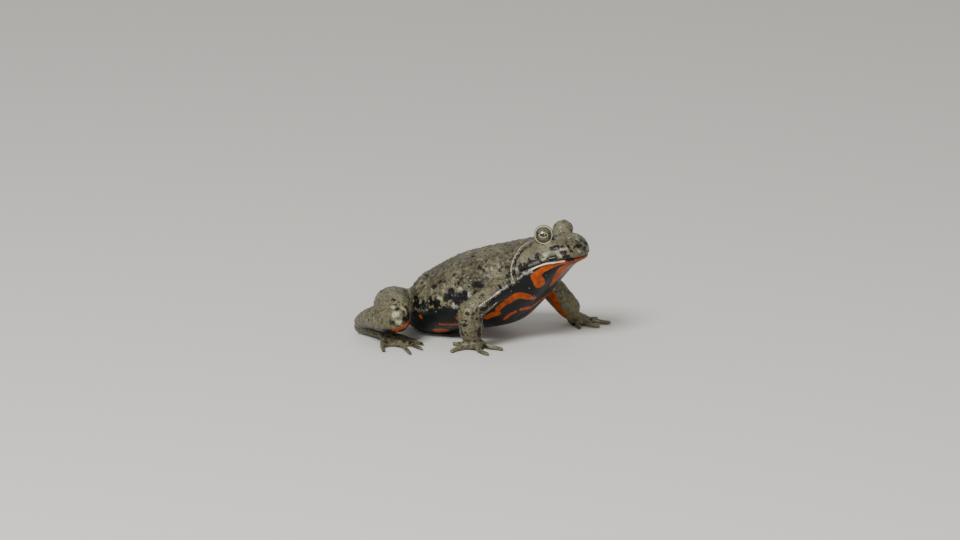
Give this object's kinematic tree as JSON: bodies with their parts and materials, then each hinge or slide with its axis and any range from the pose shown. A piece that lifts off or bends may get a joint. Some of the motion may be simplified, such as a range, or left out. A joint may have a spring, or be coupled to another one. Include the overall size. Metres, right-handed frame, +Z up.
{
  "type": "fire-bellied toad",
  "caption": "Life-size still model of a fire-bellied toad sitting up on its forelegs, belly and hind legs on the floor, divided into head, torso, eyes and limb segments.",
  "frame": {"origin": "middle of the underside of the toad's bounding box, on the floor", "axes": "+X towards the snout, +Y to the toad's left, +Z up"},
  "size_m": [0.046, 0.049, 0.0249],
  "materials": {
    "olive_skin": "damp, finely warted olive-brown skin with dark spots and an orange and black underside",
    "limb_skin": "damp, finely warted olive skin with dark spots and bars",
    "eye": "wet, glossy eye with a gold-flecked iris and a dark pupil"
  },
  "bodies": {
    "root": {"torso": "olive_skin", "head": "olive_skin", "eye_right": "eye", "eye_left": "eye", "upper_arm_right": "limb_skin", "upper_arm_left": "limb_skin", "forearm_right": "limb_skin", "forearm_left": "limb_skin", "hand_right": "limb_skin", "hand_left": "limb_skin", "thigh_right": "limb_skin", "thigh_left": "limb_skin", "shank_right": "limb_skin", "shank_left": "limb_skin", "tarsus_right": "limb_skin", "tarsus_left": "limb_skin", "foot_right": "limb_skin", "foot_left": "limb_skin"}
  },
  "joints": []
}
